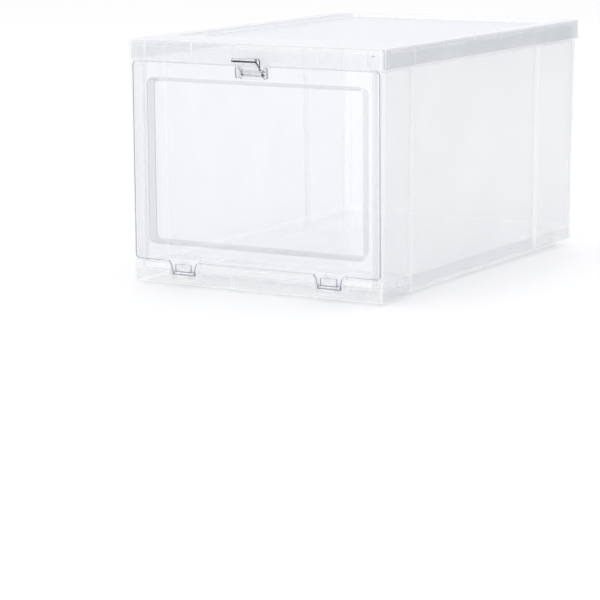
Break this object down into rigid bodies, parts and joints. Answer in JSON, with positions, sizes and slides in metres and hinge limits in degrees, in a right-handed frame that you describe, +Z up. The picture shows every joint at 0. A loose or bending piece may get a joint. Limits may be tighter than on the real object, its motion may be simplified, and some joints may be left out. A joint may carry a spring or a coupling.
{
  "type": "shoe box",
  "caption": "Stackable translucent shoe box with a press-fit ribbed lid and a clear drop-down front door held by a small lever latch",
  "frame": {"origin": "on the plane of the foot ring, under the middle of the object's overall box, which includes the latch's bead in front", "axes": "+X to the user's right, +Y from the door to the back wall, +Z up"},
  "size_m": [0.24, 0.3716, 0.202],
  "materials": {
    "body_plastic": "milky translucent polypropylene, satin",
    "lid_plastic": "milky translucent polypropylene, satin",
    "door_plastic": "clear polystyrene, polished",
    "latch_plastic": "clear polystyrene, polished"
  },
  "bodies": {
    "body": {"body": "body_plastic"},
    "lid": {"lid": "lid_plastic"},
    "door": {"door": "door_plastic"},
    "latch": {"latch": "latch_plastic"}
  },
  "joints": [
    {"name": "lid_lift", "type": "slide", "parent": "body", "child": "lid", "axis": [0, 0, 1], "range_m": [0, 0.015]},
    {"name": "door_hinge", "type": "hinge", "parent": "body", "child": "door", "pos_m": [0, -0.1704, 0.011], "axis": [1, 0, 0], "range_deg": [0, 90]},
    {"name": "latch_pivot", "type": "hinge", "parent": "door", "child": "latch", "pos_m": [0, -0.1709, 0.178], "axis": [1, 0, 0], "range_deg": [0, 60]}
  ]
}
